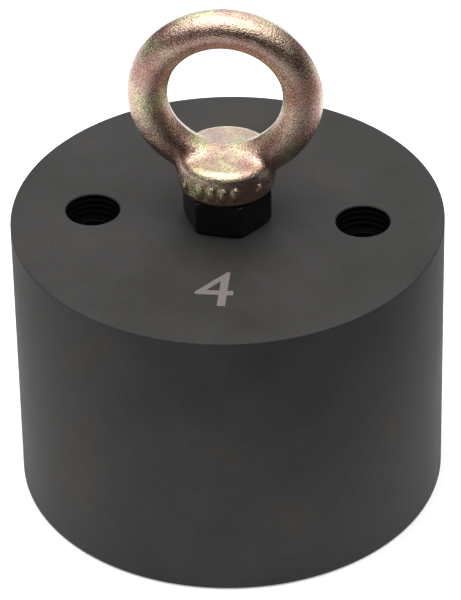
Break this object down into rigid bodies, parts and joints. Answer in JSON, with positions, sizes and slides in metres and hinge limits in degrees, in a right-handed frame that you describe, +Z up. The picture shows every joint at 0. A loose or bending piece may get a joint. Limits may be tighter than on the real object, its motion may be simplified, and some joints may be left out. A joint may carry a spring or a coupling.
{
  "type": "permanent lifting magnet",
  "caption": "Round permanent pot magnet for lifting steel, with a forged ring eye bolt locked by a hexagon nut and push-off screws in two holes.",
  "frame": {"origin": "centre of the round working face, which is the underside that grips the load", "axes": "+Z up through the eye bolt; X along the line of the two release screws and across the ring of the eye; the ring stands in the XZ plane at rest"},
  "size_m": [0.16, 0.16, 0.2001],
  "materials": {
    "housing": "fine turned steel, blackened, dark satin",
    "eye": "drop forged steel, yellow zinc passivated, satin with pink and green bloom",
    "black": "black oxide, slightly oiled",
    "pole": "ground steel, bare",
    "pin": "ground hardened steel",
    "screw": "stainless steel",
    "cover": "turned brass, dull",
    "bush": "sintered bronze",
    "magnet": "nickel plated",
    "sleeve": "turned aluminium",
    "rubber": "matt black nitrile rubber"
  },
  "bodies": {
    "pot": {"housing": "housing", "cover_ring": "cover", "cover_gasket": "rubber", "pole_piece": "pole", "pole_seal": "rubber", "centring_pin": "cover", "spacer_sleeve": "sleeve", "guide_bush_left": "bush", "guide_bush_right": "bush", "pin_seal_left": "rubber", "pin_seal_right": "rubber", "magnet_lower_1": "magnet", "magnet_lower_2": "magnet", "magnet_lower_3": "magnet", "magnet_lower_4": "magnet", "magnet_lower_5": "magnet", "magnet_lower_6": "magnet", "magnet_upper_1": "magnet", "magnet_upper_2": "magnet", "magnet_upper_3": "magnet", "magnet_upper_4": "magnet", "magnet_upper_5": "magnet", "magnet_upper_6": "magnet", "cover_screw_1": "screw", "cover_screw_2": "screw", "cover_screw_3": "screw", "cover_screw_4": "screw", "cover_screw_5": "screw", "cover_screw_6": "screw", "cover_screw_7": "screw", "cover_screw_8": "screw"},
    "nut": {"lock_nut": "black"},
    "eye": {"eye_bolt": "eye"},
    "pin_left": {"push_pin_left": "pin"},
    "screw_left": {"release_screw_left": "black"},
    "pin_right": {"push_pin_right": "pin"},
    "screw_right": {"release_screw_right": "black"}
  },
  "joints": [
    {"name": "eye_turn", "type": "hinge", "parent": "pot", "child": "nut", "pos_m": [0, 0, 0.112], "axis": [0, 0, 1], "range_deg": [0, 180.5]},
    {"name": "eye_rise", "type": "slide", "parent": "nut", "child": "eye", "axis": [0, 0, 1], "range_m": [0, 0.00125]},
    {"name": "left_pin_push", "type": "slide", "parent": "pot", "child": "pin_left", "axis": [0, 0, -1], "range_m": [0, 0.0075]},
    {"name": "left_screw_turn", "type": "hinge", "parent": "pin_left", "child": "screw_left", "pos_m": [-0.05, 0, 0.1033], "axis": [0, 0, -1], "range_deg": [0, 1081]},
    {"name": "right_pin_push", "type": "slide", "parent": "pot", "child": "pin_right", "axis": [0, 0, -1], "range_m": [0, 0.0075]},
    {"name": "right_screw_turn", "type": "hinge", "parent": "pin_right", "child": "screw_right", "pos_m": [0.05, 0, 0.1033], "axis": [0, 0, -1], "range_deg": [0, 1081]}
  ],
  "couplings": [
    {"joint": "eye_turn", "follows": "eye_rise", "rad_per_m": 2513.3},
    {"joint": "left_screw_turn", "follows": "left_pin_push", "rad_per_m": 2513.3},
    {"joint": "right_screw_turn", "follows": "right_pin_push", "rad_per_m": 2513.3}
  ]
}
